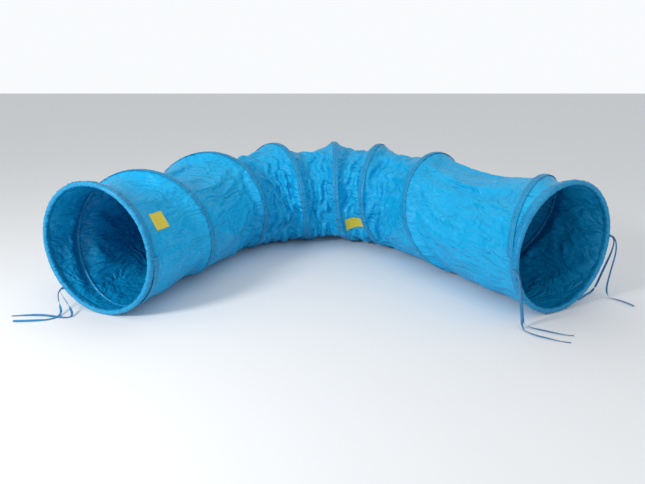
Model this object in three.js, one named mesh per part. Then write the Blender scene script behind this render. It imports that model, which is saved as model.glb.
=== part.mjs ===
// Dog agility tunnel: a light nylon tube on one spring-steel coil, laid out in a bend on the floor.
// Units are millimetres, +Z is up and the floor is Z = 0. The origin is under the middle of the
// tunnel's box, +X runs across both legs and both mouths open towards -Y.
import * as THREE from 'three';

const { degToRad, clamp, smoothstep } = THREE.MathUtils;

// Driving dimensions.
const RIM_RADIUS = 300;                 // outside of the gathered hem at each mouth
const TUBE_RADIUS = 298;                // outside of the fabric between the mouths
const FABRIC_THICKNESS = 1.5;
const LEFT_STRAIGHT = 864;              // along the tunnel's axis, from the left mouth
const BEND_RADIUS = 672;
const BEND_ANGLE = degToRad(125.8);
const RIGHT_STRAIGHT = 960;
const START_HEADING = degToRad(24);     // of the left leg, clockwise from +Y
const BEND_CENTRE = new THREE.Vector2(-41.8, -153.8);
const BAY_LENGTHS = [450, 580, 440, 330, 270, 480];   // one coil turn each; the seventh is the rest
const FACETS = 32;                      // sides of the tube, with one flat on the floor
const BEND_STEP = degToRad(7);          // arc covered by one straight step of the fabric tube

const WIRE_RADIUS = 2.1;
const COIL_RADIUS = 291.5;              // centre of the wire about the tube's axis
const COIL_END_INSET = 32;              // first and last turn stay clear of the hems
const CASING_WIDTH = 32;
const CASING_THICKNESS = 1;
const CASING_RADIUS = 286.5;
const COIL_STEPS = 30;                  // straight steps in one turn

const HEM_RADIUS = 14;                  // section of the hem around its end ring
const HEM_THICKNESS = 1.5;
const RING_RADIUS = RIM_RADIUS - HEM_RADIUS;
const FERRULE_LENGTH = 24;

const LABEL_SIZE = 90;
const LABEL_THICKNESS = 0.8;
const LABEL_GAP = 1.2;                  // clears the straight steps of the fabric in the bend
const TAPE_WIDTH = 10;
const TAPE_THICKNESS = 1.6;
const TAB_WIDTH = 12;
const TAB_LENGTH = 20;
const TAB_THICKNESS = 5;
const TAPE_STEP = 28;
const SEAM_GAP = 0.3;                   // left between pieces that touch

const BEND_LENGTH = BEND_RADIUS * BEND_ANGLE;
const TOTAL_LENGTH = LEFT_STRAIGHT + BEND_LENGTH + RIGHT_STRAIGHT;
const BAY_COUNT = BAY_LENGTHS.length + 1;
const FACET_ANGLE = 2 * Math.PI / FACETS;
const CORNER = 1 / Math.cos(FACET_ANGLE / 2);         // corner radius over flat radius
const UP = new THREE.Vector3(0, 0, 1);

// Distance along the axis of each bay's ends: the left mouth, six coil crossings, the right mouth.
const STATIONS = [0];
for (const length of BAY_LENGTHS) STATIONS.push(STATIONS.at(-1) + length);
STATIONS.push(TOTAL_LENGTH);

const NYLON = { color: 0x0a87cd, roughness: 0.45, metalness: 0 };
const CASING_TAPE = { color: 0x1c93d2, roughness: 0.6, metalness: 0 };
const STEEL = { color: 0x8a8f94, roughness: 0.35, metalness: 1 };
const FERRULE_METAL = { color: 0xb9bcc0, roughness: 0.4, metalness: 1 };
const YELLOW = { color: 0xe6cd28, roughness: 0.6, metalness: 0 };
const TIE_TAPE = { color: 0x0b6fae, roughness: 0.8, metalness: 0 };

const tunnel = new THREE.Group();

function addPiece(name, geometry, look) {
  const mesh = new THREE.Mesh(geometry, new THREE.MeshStandardMaterial(look));
  mesh.name = name;
  tunnel.add(mesh);
  return mesh;
}

// Where the axis is at a distance along the tunnel, and the level directions ahead and to the right.
function axisAt(distance) {
  const bent = clamp(distance - LEFT_STRAIGHT, 0, BEND_LENGTH);
  const heading = START_HEADING + bent / BEND_RADIUS;
  const ahead = new THREE.Vector3(Math.sin(heading), Math.cos(heading), 0);
  const right = new THREE.Vector3(Math.cos(heading), -Math.sin(heading), 0);
  const centre = new THREE.Vector3(BEND_CENTRE.x, BEND_CENTRE.y, 0)
    .addScaledVector(right, -BEND_RADIUS)
    .addScaledVector(ahead, distance - LEFT_STRAIGHT - bent);
  return { centre, ahead, right };
}

// Outward direction at an angle round the tube: 0 is the right wall, a quarter turn is the top.
function outwardAt(distance, angle) {
  const { right } = axisAt(distance);
  return right.multiplyScalar(Math.cos(angle)).addScaledVector(UP, Math.sin(angle));
}

function wallPoint(distance, angle, radius, axisHeight = TUBE_RADIUS) {
  const point = axisAt(distance).centre.addScaledVector(UP, axisHeight);
  return point.addScaledVector(outwardAt(distance, angle), radius);
}

// A curve whose section keeps its first axis turned towards side(t), so that it never rolls.
class GuidedCurve extends THREE.Curve {
  constructor(point, side) {
    super();
    this.point = point;
    this.side = side;
    this.arcLengthDivisions = 600;
  }

  getPoint(t) {
    return this.point(t);
  }

  computeFrenetFrames(segments) {
    const frames = { tangents: [], normals: [], binormals: [] };
    for (let i = 0; i <= segments; i += 1) {
      const t = this.getUtoTmapping(i / segments);
      const tangent = this.getTangent(t);
      const binormal = new THREE.Vector3().crossVectors(tangent, this.side(t)).normalize();
      frames.tangents.push(tangent);
      frames.normals.push(new THREE.Vector3().crossVectors(binormal, tangent));
      frames.binormals.push(binormal);
    }
    return frames;
  }
}

function sweep(outline, curve, steps) {
  return new THREE.ExtrudeGeometry(outline, { extrudePath: curve, steps, bevelEnabled: false });
}

// A closed outline through points given as [across, down] pairs.
function outlineOf(points) {
  return new THREE.Shape(points.map(([x, y]) => new THREE.Vector2(x, y)));
}

function regularOutline(radiusX, radiusY, sides) {
  const points = [];
  for (let i = 0; i < sides; i += 1) {
    const angle = (i + 0.5) * 2 * Math.PI / sides;
    points.push([radiusX * Math.cos(angle), radiusY * Math.sin(angle)]);
  }
  return outlineOf(points);
}

// Part of the tube's axis, with its section's first axis level and to the right.
function axisCurve(from, to) {
  const distance = (t) => from + (to - from) * t;
  return new GuidedCurve(
    (t) => axisAt(distance(t)).centre.setZ(TUBE_RADIUS),
    (t) => axisAt(distance(t)).right,
  );
}

function axisSteps(from, to) {
  const bent = clamp(to, LEFT_STRAIGHT, LEFT_STRAIGHT + BEND_LENGTH)
    - clamp(from, LEFT_STRAIGHT, LEFT_STRAIGHT + BEND_LENGTH);
  const share = bent / (to - from);
  return share > 0 ? Math.ceil(bent / BEND_RADIUS / BEND_STEP / share) : 1;
}

// Fabric of one bay: a faceted tube open at both ends, with its lowest facet flat on the floor.
function fabricBay(from, to) {
  const outline = regularOutline(TUBE_RADIUS * CORNER, TUBE_RADIUS * CORNER, FACETS);
  const inside = (TUBE_RADIUS - FABRIC_THICKNESS) * CORNER;
  outline.holes.push(regularOutline(inside, inside, FACETS));
  return sweep(outline, axisCurve(from, to), axisSteps(from, to));
}

// How far along the tunnel the coil is after some turns. It crosses the right wall once a turn, at
// each station, and its pitch changes smoothly between them.
function coilDistance(turns) {
  const stations = [COIL_END_INSET, ...STATIONS.slice(1, -1), TOTAL_LENGTH - COIL_END_INSET];
  const pitches = stations.slice(1).map((station, i) => station - stations[i]);
  const slopes = stations.map((_, i) => {
    if (i === 0 || i === BAY_COUNT) return 0.4 * pitches.at(i === 0 ? 0 : -1);
    return 2 * pitches[i - 1] * pitches[i] / (pitches[i - 1] + pitches[i]);
  });
  const bay = clamp(Math.floor(turns), 0, BAY_COUNT - 1);
  const t = turns - bay;
  return stations[bay] * (2 * t ** 3 - 3 * t ** 2 + 1)
    + slopes[bay] * (t ** 3 - 2 * t ** 2 + t)
    + stations[bay + 1] * (3 * t ** 2 - 2 * t ** 3)
    + slopes[bay + 1] * (t ** 3 - t ** 2);
}

// One turn of a right-handed coil, going from the right wall under the floor side to the left wall.
function coilTurn(turn, radius) {
  const clearance = SEAM_GAP / (2 * Math.PI * radius);
  const turns = (t) => turn + clearance + (1 - 2 * clearance) * t;
  const angle = (t) => -2 * Math.PI * turns(t);
  return new GuidedCurve(
    (t) => wallPoint(coilDistance(turns(t)), angle(t), radius),
    (t) => outwardAt(coilDistance(turns(t)), angle(t)),
  );
}

function springWire(turn) {
  return sweep(regularOutline(WIRE_RADIUS, WIRE_RADIUS, 6), coilTurn(turn, COIL_RADIUS), COIL_STEPS);
}

function casingTape(turn) {
  const x = CASING_THICKNESS / 2;
  const y = CASING_WIDTH / 2;
  const outline = outlineOf([[-x, -y], [x, -y], [x, y], [-x, y]]);
  return sweep(outline, coilTurn(turn, CASING_RADIUS), COIL_STEPS);
}

// Stands a piece made about its own axis at a mouth, from its axes to right, ahead and up.
function placeAtMouth(mesh, distance, first, second) {
  const { centre } = axisAt(distance);
  const third = new THREE.Vector3().crossVectors(first, second);
  mesh.applyMatrix4(new THREE.Matrix4().makeBasis(first, second, third));
  mesh.position.copy(centre).setZ(RIM_RADIUS);
}

// The hem is a channel round the end ring, open on the side where the fabric leaves it.
function mouthHem(inward) {
  const spread = (turned, radius) => {
    const points = [];
    for (let degrees = 30; degrees <= 330; degrees += 60) {
      const angle = degToRad(turned ? 360 - degrees : degrees);
      points.push(new THREE.Vector2(
        (RING_RADIUS + radius * Math.sin(angle)) * CORNER,
        inward * radius * Math.cos(angle),
      ));
    }
    return points;
  };
  const profile = [
    ...spread(inward > 0, HEM_RADIUS),
    ...spread(inward < 0, HEM_RADIUS - HEM_THICKNESS),
  ];
  profile.push(profile[0].clone());
  return new THREE.LatheGeometry(profile, FACETS, FACET_ANGLE / 2);
}

function endRing() {
  return new THREE.TorusGeometry(RING_RADIUS, WIRE_RADIUS, 6, FACETS);
}

// A crimped sleeve on one straight step of the end ring, where the ring's two ends meet.
function ferrule() {
  const outline = regularOutline(3.6, 3.6, 8);
  outline.holes.push(regularOutline(WIRE_RADIUS + SEAM_GAP + 0.3, WIRE_RADIUS + SEAM_GAP + 0.3, 8));
  const sleeve = new THREE.ExtrudeGeometry(outline, { depth: FERRULE_LENGTH, bevelEnabled: false });
  const angle = 8.5 * FACET_ANGLE;
  sleeve.translate(0, 0, -FERRULE_LENGTH / 2);
  sleeve.rotateX(-Math.PI / 2);
  sleeve.translate(RING_RADIUS / CORNER, 0, 0);
  sleeve.rotateZ(angle);
  return sleeve;
}

// A square label sewn flat on the outside of the fabric, following the tube's facets.
function label(distance, degrees) {
  const half = LABEL_SIZE / 2;
  const middle = degToRad(degrees);
  const reach = half / TUBE_RADIUS;
  const angles = [middle - reach, middle + reach];
  for (let corner = -FACETS; corner <= FACETS; corner += 1) {
    const angle = (corner + 0.5) * FACET_ANGLE;
    if (Math.abs(angle - middle) < reach) angles.push(angle);
  }
  angles.sort((a, b) => a - b);
  const edge = (list, flat) => list.map((angle) => {
    const offFlat = angle - Math.round(angle / FACET_ANGLE) * FACET_ANGLE;
    const radius = flat / Math.cos(offFlat);
    return [radius * Math.cos(angle), -radius * Math.sin(angle)];
  });
  const inner = TUBE_RADIUS + LABEL_GAP;
  const outline = outlineOf([
    ...edge(angles, inner),
    ...edge([...angles].reverse(), inner + LABEL_THICKNESS),
  ]);
  const from = distance - half;
  const to = distance + half;
  return sweep(outline, axisCurve(from, to), axisSteps(from, to));
}

// Each tie is one woven tape sewn to a hem by its middle: a stitched tab and two loose tails. The tab
// is on the outside of the hem, at an angle round the mouth, and its tails leave on the mouth's side.
// A tail's route is its centre line, down to the floor and along it.
const TIES = [
  {
    name: 'left',
    distance: 0,
    degrees: -136,
    tails: [
      [[-1209.5, -594, 91], [-1212, -604, 90], [-1205, -622, 82], [-1187, -642, 69], [-1166, -661, 51],
        [-1147, -678, 31], [-1135, -692, 14], [-1134, -705, 4], [-1146, -714, 1.1],
        [-1165, -716, 1.1], [-1193, -713, 1.1], [-1225, -705, 1.1], [-1262, -698, 1.1],
        [-1310, -694, 1.1], [-1355, -694, 1.1], [-1401, -696, 1.1]],
      [[-1212.5, -593.5, 88], [-1216, -603, 85], [-1218, -615, 77], [-1215, -630, 62], [-1207, -646, 44],
        [-1197, -662, 26], [-1189, -679, 12], [-1190, -697, 5], [-1197, -714, 4], [-1210, -729, 2.2],
        [-1230, -741, 1.1], [-1262, -750, 1.1], [-1297, -756, 1.1], [-1332, -759, 1.1],
        [-1366, -758, 1.1]],
    ],
  },
  {
    name: 'right_inner',
    distance: TOTAL_LENGTH,
    degrees: -10,
    tails: [
      [[771, -806.5, 247.5], [775, -814, 244], [782, -821, 228], [789, -821, 200], [796, -818, 165],
        [802, -814, 128], [809, -809, 92], [815, -805, 58], [821, -803, 28], [829, -807, 9],
        [845, -819, 2], [872, -840, 1.1], [910, -864, 1.1], [950, -884, 1.1], [978, -892, 1.1],
        [1004, -896, 1.1]],
      [[768.5, -808.5, 247], [771, -817, 243], [776, -828, 226], [781, -832, 198], [787, -830, 163],
        [793, -827, 126], [799, -824, 90], [805, -823, 56], [809, -825, 27], [812, -832, 9],
        [815, -846, 2], [822, -866, 1.1], [836, -889, 1.1], [862, -912, 1.1], [896, -932, 1.1],
        [932, -948, 1.1], [967, -959, 1.1]],
    ],
  },
  {
    name: 'right_outer',
    distance: TOTAL_LENGTH,
    degrees: 178,
    tails: [
      [[1292, -503.5, 310.5], [1297, -512, 307], [1305, -520, 290], [1311, -520, 262], [1313, -517, 228],
        [1312, -511, 190], [1310, -504, 150], [1309, -497, 110], [1309, -490, 72], [1312, -486, 38],
        [1320, -487, 14], [1333, -495, 3], [1349, -511, 1.1], [1364, -534, 1.1], [1380, -563, 1.1],
        [1395, -594, 1.1]],
      [[1289.5, -505, 310.5], [1293, -513, 306], [1298, -517, 290], [1302, -507, 262],
        [1305, -490, 226], [1306, -470, 188], [1304, -452, 148], [1301, -436, 108], [1297, -424, 70],
        [1290, -417, 36], [1278, -418, 12], [1262, -428, 2], [1240, -449, 1.1], [1213, -476, 1.1],
        [1190, -498, 1.1], [1172, -515, 1.1]],
    ],
  },
];

// The tape's flat side faces away from the tunnel while it hangs, and up where it lies on the floor.
function tailOf(route, facing) {
  const line = new THREE.CatmullRomCurve3(route.map((point) => new THREE.Vector3(...point)));
  const side = (t) => {
    const hanging = smoothstep(line.getPoint(t).z, 5, 60);
    return facing.clone().multiplyScalar(hanging).addScaledVector(UP, 1 - hanging);
  };
  const curve = new GuidedCurve((t) => line.getPoint(t), side);
  const section = regularOutline(TAPE_THICKNESS / 2, TAPE_WIDTH / 2, 8);
  return sweep(section, curve, Math.ceil(line.getLength() / TAPE_STEP));
}

function addTie({ name, distance, degrees, tails }) {
  const { ahead } = axisAt(distance);
  const outward = outwardAt(distance, degToRad(degrees));
  const around = new THREE.Vector3().crossVectors(ahead, outward);
  const radius = RIM_RADIUS * CORNER + SEAM_GAP + TAB_THICKNESS / 2;
  const tab = addPiece(`tie_tab_${name}`, new THREE.BoxGeometry(TAB_THICKNESS, TAB_WIDTH, TAB_LENGTH), TIE_TAPE);
  tab.applyMatrix4(new THREE.Matrix4().makeBasis(outward, around, ahead.clone().negate()));
  tab.position.copy(wallPoint(distance, degToRad(degrees), radius, RIM_RADIUS));
  const facing = outward.clone().setZ(0).normalize();
  tails.forEach((route, i) => {
    addPiece(`tie_tail_${name}_${i + 1}`, tailOf(route, facing), TIE_TAPE);
  });
}

STATIONS.slice(0, -1).forEach((station, bay) => {
  const seam = SEAM_GAP / 2;
  const from = bay === 0 ? HEM_RADIUS + SEAM_GAP : station + seam;
  const to = bay === BAY_COUNT - 1 ? TOTAL_LENGTH - HEM_RADIUS - SEAM_GAP : STATIONS[bay + 1] - seam;
  addPiece(`fabric_bay_${bay + 1}`, fabricBay(from, to), NYLON);
  addPiece(`spring_wire_turn_${bay + 1}`, springWire(bay), STEEL);
  addPiece(`casing_tape_turn_${bay + 1}`, casingTape(bay), CASING_TAPE);
});

for (const [side, distance, inward] of [['left', 0, 1], ['right', TOTAL_LENGTH, -1]]) {
  const { ahead, right } = axisAt(distance);
  placeAtMouth(addPiece(`${side}_mouth_hem`, mouthHem(inward), NYLON), distance, right, ahead);
  placeAtMouth(addPiece(`${side}_end_ring`, endRing(), STEEL), distance, right, UP);
  placeAtMouth(addPiece(`${side}_ring_ferrule`, ferrule(), FERRULE_METAL), distance, right, UP);
}

addPiece('label_left_leg', label(155, 28), YELLOW);
addPiece('label_bend', label(1935, -34), YELLOW);
addPiece('label_right_leg', label(3140, 192), YELLOW);

TIES.forEach(addTie);

export default tunnel;
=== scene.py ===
"""Looks of the agility tunnel: gathered nylon on a steel coil, hems, blank labels and tie tapes."""

import math

import bpy
import numpy as np
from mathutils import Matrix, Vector, noise


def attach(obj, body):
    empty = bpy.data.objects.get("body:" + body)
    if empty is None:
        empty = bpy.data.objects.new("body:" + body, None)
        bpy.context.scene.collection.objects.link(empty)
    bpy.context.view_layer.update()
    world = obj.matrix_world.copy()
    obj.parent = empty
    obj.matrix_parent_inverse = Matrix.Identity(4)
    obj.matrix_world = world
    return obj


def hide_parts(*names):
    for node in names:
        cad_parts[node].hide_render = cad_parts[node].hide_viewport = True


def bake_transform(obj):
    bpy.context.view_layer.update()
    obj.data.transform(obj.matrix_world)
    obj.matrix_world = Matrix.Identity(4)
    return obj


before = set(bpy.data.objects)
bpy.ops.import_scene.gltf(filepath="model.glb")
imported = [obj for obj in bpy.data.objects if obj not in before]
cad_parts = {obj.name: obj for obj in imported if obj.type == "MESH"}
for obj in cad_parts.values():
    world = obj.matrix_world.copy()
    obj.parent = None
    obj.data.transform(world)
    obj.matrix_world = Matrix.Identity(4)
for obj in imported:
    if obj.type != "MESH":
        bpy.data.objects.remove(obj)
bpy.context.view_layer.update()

# The tunnel's axis, in metres, as the CAD has it.
RIM_HEIGHT = 0.300
TUBE_RADIUS = 0.298
LEFT_STRAIGHT = 0.864
BEND_RADIUS = 0.672
BEND_ANGLE = math.radians(125.8)
RIGHT_STRAIGHT = 0.960
START_HEADING = math.radians(24)
BEND_CENTRE = (-0.0418, -0.1538)
BAY_LENGTHS = [0.450, 0.580, 0.440, 0.330, 0.270, 0.480]
BEND_LENGTH = BEND_RADIUS * BEND_ANGLE
TOTAL_LENGTH = LEFT_STRAIGHT + BEND_LENGTH + RIGHT_STRAIGHT
STATIONS = [0.0]
for bay_length in BAY_LENGTHS:
    STATIONS.append(STATIONS[-1] + bay_length)
STATIONS.append(TOTAL_LENGTH)
BAYS = len(STATIONS) - 1
BODIES = ["left_mouth", "left_leg", "left_bend", "mid_bend", "right_bend", "right_leg", "right_mouth"]

COIL_END_INSET = 0.032
WIRE_RADIUS = 0.0021
COIL_RADIUS = 0.2915
CLOTH_RADIUS = 0.2955                # where the casing holds the fabric
CASING_HALF = 0.016
HEM_RADIUS = 0.2885                  # middle of the hem's round edge
HEM_BULB = 0.0112
FLARE = 0.16                         # the fabric widens to the hem over this much of the axis

LEG_SLACK = 1.045
BEND_SLACK = 1.05
SLACK_BEND_ANGLE = math.radians(113)

CLOTH_THICKNESS = 0.0007
INNER_SKIN_REST = 0.0009             # lowest height of the cloth's inner skin
OUTER_SKIN_REST = 0.0003             # lowest height of its outer skin, just clear of the floor

# Cut length of each bay's fabric: its outer wall, and what is gathered into it.
GATHER = [1.06, 1.04, 1.0, 1.0, 1.0, 1.02, 1.035]


# ---------------------------------------------------------------- geometry of the axis

def axis_at(distance):
    """Centre line, direction ahead and level direction to the right, for an array of distances."""
    distance = np.asarray(distance, float)
    bent = np.clip(distance - LEFT_STRAIGHT, 0, BEND_LENGTH)
    heading = START_HEADING + bent / BEND_RADIUS
    ahead = np.stack([np.sin(heading), np.cos(heading), np.zeros_like(heading)], -1)
    right = np.stack([np.cos(heading), -np.sin(heading), np.zeros_like(heading)], -1)
    centre = np.array([BEND_CENTRE[0], BEND_CENTRE[1], 0.0]) - right * BEND_RADIUS
    centre = centre + ahead * (distance - LEFT_STRAIGHT - bent)[..., None]
    return centre, ahead, right


def smooth(x, low, high):
    """0 below low and 1 above high, with a soft step between."""
    t = np.clip((np.asarray(x, float) - low) / (high - low), 0, 1)
    return t * t * (3 - 2 * t)


def wall(distance, angle, radius, height=TUBE_RADIUS):
    """Points on the tube's wall. Angle 0 is the right wall and a quarter turn is the top."""
    centre, _, right = axis_at(distance)
    up = np.array([0.0, 0.0, 1.0])
    radius = np.asarray(radius, float)[..., None]
    out = right * np.cos(angle)[..., None] + up * np.sin(angle)[..., None]
    return centre + up * np.asarray(height, float)[..., None] + out * radius


def coil_distance(turns):
    """How far along the axis the coil is after some turns: it meets the right wall at each station."""
    stations = np.array([COIL_END_INSET] + STATIONS[1:-1] + [TOTAL_LENGTH - COIL_END_INSET])
    pitch = np.diff(stations)
    slope = np.concatenate([[0.4 * pitch[0]], 2 * pitch[:-1] * pitch[1:] / (pitch[:-1] + pitch[1:]),
                            [0.4 * pitch[-1]]])
    turns = np.asarray(turns, float)
    bay = np.clip(np.floor(turns).astype(int), 0, BAYS - 1)
    t = turns - bay
    return (stations[bay] * (2 * t ** 3 - 3 * t ** 2 + 1) + slope[bay] * (t ** 3 - 2 * t ** 2 + t)
            + stations[bay + 1] * (3 * t ** 2 - 2 * t ** 3) + slope[bay + 1] * (t ** 3 - t ** 2))


def mouth_share(distance):
    """1 at either mouth and 0 further in than the flare."""
    distance = np.asarray(distance, float)
    return 1 - smooth(np.minimum(distance, TOTAL_LENGTH - distance), 0, FLARE)


# ---------------------------------------------------------------- camera, floor and light

def add_camera():
    data = bpy.data.cameras.new("camera")
    data.lens = 34.6
    data.sensor_width = 36
    data.clip_start = 0.05
    data.clip_end = 60
    camera = bpy.data.objects.new("camera", data)
    camera.location = (-0.029, -3.214, 1.122)
    camera.rotation_euler = (math.radians(90 - 17.2), 0, 0)
    bpy.context.collection.objects.link(camera)
    bpy.context.scene.camera = camera


def add_light(name, kind, location, target, energy, size=1.0, colour=(1, 1, 1)):
    data = bpy.data.lights.new(name, kind)
    data.energy = energy
    data.color = colour
    if kind == "AREA":
        data.shape = "DISK"
        data.size = size
    light = bpy.data.objects.new(name, data)
    light.location = location
    light.rotation_euler = (Vector(target) - Vector(location)).to_track_quat("-Z", "Y").to_euler()
    bpy.context.collection.objects.link(light)


def add_studio():
    """A white floor under soft lights, with a background that looks brighter than it shines."""
    world = bpy.data.worlds.new("studio")
    world.use_nodes = True
    background = world.node_tree.nodes["Background"]
    background.inputs["Color"].default_value = (0.96, 0.98, 1.0, 1)
    seen = world.node_tree.nodes.new("ShaderNodeLightPath")
    strength = world.node_tree.nodes.new("ShaderNodeMapRange")
    strength.inputs["To Min"].default_value = 0.66
    strength.inputs["To Max"].default_value = 0.98
    world.node_tree.links.new(seen.outputs["Is Camera Ray"], strength.inputs["Value"])
    world.node_tree.links.new(strength.outputs["Result"], background.inputs["Strength"])
    bpy.context.scene.world = world
    bpy.context.scene.view_settings.view_transform = "Standard"
    add_light("key", "AREA", (-2.6, -2.8, 2.0), (-0.6, -0.2, 0.3), 82, 0.8)
    add_light("top", "AREA", (0.4, -0.6, 3.4), (0.1, 0, 0.2), 6, 2.0)
    add_light("front", "AREA", (1.7, -3.0, 1.6), (0.7, -0.4, 0.3), 6, 0.8)
    mesh = bpy.data.meshes.new("floor")
    half = 14.0
    mesh.from_pydata([(-half, -half, 0), (half, -half, 0), (half, half, 0), (-half, half, 0)], [],
                     [(0, 1, 2, 3)])
    floor = bpy.data.objects.new("floor", mesh)
    bpy.context.collection.objects.link(floor)
    material = bpy.data.materials.new("floor")
    material.use_nodes = True
    shader = material.node_tree.nodes["Principled BSDF"]
    shader.inputs["Base Color"].default_value = (0.86, 0.87, 0.88, 1)
    shader.inputs["Roughness"].default_value = 0.8
    mesh.materials.append(material)
    return floor


# ---------------------------------------------------------------- materials

class Nodes:
    """A short way to write a material's nodes."""

    def __init__(self, name):
        self.material = bpy.data.materials.new(name)
        self.material.use_nodes = True
        self.tree = self.material.node_tree
        self.shader = self.tree.nodes["Principled BSDF"]

    def add(self, kind, settings=None, **inputs):
        node = self.tree.nodes.new("ShaderNode" + kind)
        for key, value in (settings or {}).items():
            setattr(node, key, value)
        for key, value in inputs.items():
            self.put(node.inputs[key.replace("_", " ")], value)
        return node

    def put(self, socket, value):
        if isinstance(value, bpy.types.NodeSocket):
            self.tree.links.new(value, socket)
        else:
            socket.default_value = value

    def mix(self, amount, first, second, blend="MIX"):
        node = self.add("Mix", {"data_type": "RGBA", "blend_type": blend})
        self.put(node.inputs[0], amount)
        self.put(node.inputs[6], first)
        self.put(node.inputs[7], second)
        return node.outputs[2]

    def maths(self, operation, first, second=0.0, third=0.0):
        node = self.add("Math", {"operation": operation})
        self.put(node.inputs[0], first)
        self.put(node.inputs[1], second)
        self.put(node.inputs[2], third)
        return node.outputs[0]

    def span(self, value, low, high, to_low=0.0, to_high=1.0):
        node = self.add("MapRange", {"interpolation_type": "SMOOTHSTEP"})
        for socket, number in zip(node.inputs, (value, low, high, to_low, to_high)):
            self.put(socket, number)
        return node.outputs[0]

    def noise(self, vector, scale, detail=3.0, roughness=0.5, distortion=0.0):
        node = self.add("TexNoise", Vector=vector, Scale=scale, Detail=detail, Roughness=roughness,
                        Distortion=distortion)
        return node.outputs["Fac"]

    def bump(self, height, distance, strength, normal=None):
        node = self.add("Bump", Height=height, Distance=distance, Strength=strength)
        if normal is not None:
            self.put(node.inputs["Normal"], normal)
        return node.outputs["Normal"]

    def stretched(self, vector, scale):
        return self.add("Mapping", Vector=vector, Scale=scale).outputs["Vector"]


def weave_height(nodes, uv, pitch):
    """Over-and-under threads in the cloth's own directions; uv is in metres."""
    split = nodes.add("SeparateXYZ", Vector=uv)
    turn = 2 * math.pi / pitch
    across = nodes.maths("SINE", nodes.maths("MULTIPLY", split.outputs[0], turn))
    along = nodes.maths("SINE", nodes.maths("MULTIPLY", split.outputs[1], turn))
    return nodes.maths("MULTIPLY_ADD", nodes.maths("MULTIPLY", across, along), 0.5, 0.5)


def nylon(name, colour, light, dark, crease=1.0, weave=0.0011):
    """Thin satin nylon: a fine plain weave and crumples, with a painted highlight along the crumples' crease
    lines and painted shade where the fine bump is low.
    """
    nodes = Nodes(name)
    place = nodes.add("TexCoord").outputs["Object"]
    uv = nodes.add("UVMap", {"uv_map": "cloth"}).outputs["UV"]
    broad = nodes.noise(place, 3.5, 3.0, 0.55, 0.4)
    crumple = nodes.noise(place, 17.0, 4.0, 0.55, 0.8)
    ridge = nodes.maths("ABSOLUTE", nodes.maths("MULTIPLY_ADD", crumple, 2.0, -1.0))
    fine = nodes.noise(place, 60.0, 3.0, 0.55, 0.5)
    pulled = nodes.noise(nodes.stretched(place, (5.0, 5.0, 12.0)), 1.0, 2.0, 0.5, 1.6)
    facets = nodes.maths("ABSOLUTE", nodes.maths("MULTIPLY_ADD", pulled, 2.0, -1.0))
    threads = weave_height(nodes, uv, weave)
    slub = nodes.noise(nodes.stretched(uv, (18.0, 900.0, 1.0)), 1.0, 2.0)
    tone = nodes.mix(nodes.span(broad, 0.35, 0.70, 0.0, 0.35), colour, light)
    # Painted highlight: lighter along the sharp crease lines of the crumple bump.
    tone = nodes.mix(nodes.span(ridge, 0.10, 0.0, 0.0, 0.22), tone, light)
    # Painted shade: darker where the fine bump is low.
    tone = nodes.mix(nodes.span(fine, 0.60, 0.40, 0.0, 0.16), tone, dark)
    tone = nodes.mix(nodes.maths("MULTIPLY", slub, 0.12), tone, dark)
    tone = nodes.mix(nodes.maths("MULTIPLY", threads, 0.10), tone, light)
    nodes.put(nodes.shader.inputs["Base Color"], tone)
    rough = nodes.maths("MULTIPLY_ADD", fine, 0.22, 0.22)
    nodes.put(nodes.shader.inputs["Roughness"], nodes.maths("MULTIPLY_ADD", threads, 0.05, rough))
    normal = nodes.bump(facets, 0.030 * crease, 0.6)
    normal = nodes.bump(ridge, 0.0065 * crease, 0.7, normal)
    normal = nodes.bump(fine, 0.0016 * crease, 0.7, normal)
    normal = nodes.bump(threads, 0.00012, 0.5, normal)
    nodes.put(nodes.shader.inputs["Normal"], normal)
    nodes.shader.inputs["Specular IOR Level"].default_value = 0.30
    return nodes


def shade_behind_labels(nodes, places):
    """Painted shadow of each label on the cloth: darker where the label lies, its row of stitches darker
    still, with pulled folds around it as bumps.
    """
    uv = nodes.add("UVMap", {"uv_map": "cloth"}).outputs["UV"]
    split = nodes.add("SeparateXYZ", Vector=uv)
    base = nodes.shader.inputs["Base Color"].links[0].from_socket
    normal = nodes.shader.inputs["Normal"].links[0].from_socket
    for along, around in places:
        x = nodes.maths("SUBTRACT", split.outputs[0], along)
        y = nodes.maths("SUBTRACT", split.outputs[1], around)
        reach = nodes.maths("MAXIMUM", nodes.maths("ABSOLUTE", x), nodes.maths("ABSOLUTE", y))
        inside = nodes.span(reach, LABEL_SIZE / 2 + 0.001, LABEL_SIZE / 2 - 0.001)
        row = nodes.span(nodes.maths("ABSOLUTE", nodes.maths("SUBTRACT", reach, LABEL_SIZE / 2 - 0.004)),
                         0.0018, 0.0006)
        turn = nodes.maths("ARCTAN2", y, x)
        wander = nodes.maths("MULTIPLY", nodes.noise(uv, 14.0, 2.0), 9.0)
        rays = nodes.maths("SINE", nodes.maths("MULTIPLY_ADD", turn, 9.0, wander))
        pulled = nodes.maths("MULTIPLY", nodes.span(reach, 0.13, 0.06), nodes.span(reach, 0.02, 0.05))
        around_label = nodes.maths("MULTIPLY", pulled, rays)
        # Painted shadow of the label: the square goes darker, and its stitch row darker still.
        base = nodes.mix(nodes.maths("MULTIPLY", inside, 0.62), base, (0.0, 0.050, 0.170, 1))
        base = nodes.mix(nodes.maths("MULTIPLY", row, 0.5), base, (0.0, 0.035, 0.120, 1))
        normal = nodes.bump(around_label, 0.0022, 0.7, normal)
        normal = nodes.bump(row, -0.0008, 0.8, normal)
    nodes.put(nodes.shader.inputs["Base Color"], base)
    nodes.put(nodes.shader.inputs["Normal"], normal)


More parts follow.
